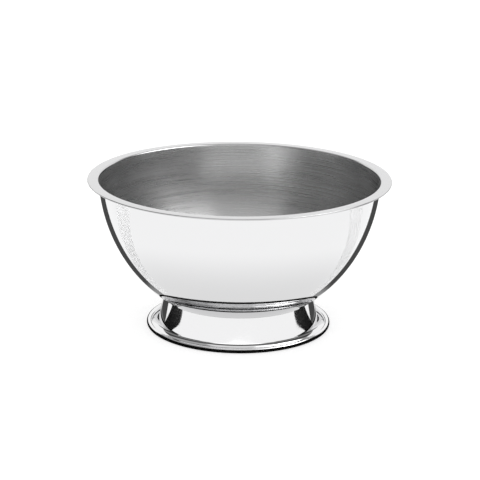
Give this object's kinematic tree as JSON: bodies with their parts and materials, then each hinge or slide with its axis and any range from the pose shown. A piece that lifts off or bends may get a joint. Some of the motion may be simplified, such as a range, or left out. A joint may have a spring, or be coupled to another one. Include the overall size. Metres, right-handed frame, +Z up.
{
  "type": "footed punch bowl",
  "caption": "Round stainless-steel punch bowl with a flat hemmed rim, on a short conical foot with a curled base edge.",
  "frame": {"origin": "centre of the base, on the surface the foot stands on", "axes": "+Z up, along the bowl's axis of revolution; X and Y are equivalent"},
  "size_m": [0.34, 0.34, 0.172],
  "materials": {
    "bowl_steel": "stainless steel, mirror-polished outside and on the rim, with a fine concentric brushed satin inside",
    "foot_steel": "stainless steel, mirror-polished outside, dull as spun inside",
    "weld_metal": "heat-tinted weld metal, rough"
  },
  "bodies": {
    "root": {"bowl_shell": "bowl_steel", "pedestal_foot": "foot_steel", "spot_weld_1": "weld_metal", "spot_weld_2": "weld_metal", "spot_weld_3": "weld_metal", "spot_weld_4": "weld_metal", "spot_weld_5": "weld_metal", "spot_weld_6": "weld_metal", "spot_weld_7": "weld_metal", "spot_weld_8": "weld_metal"}
  },
  "joints": []
}
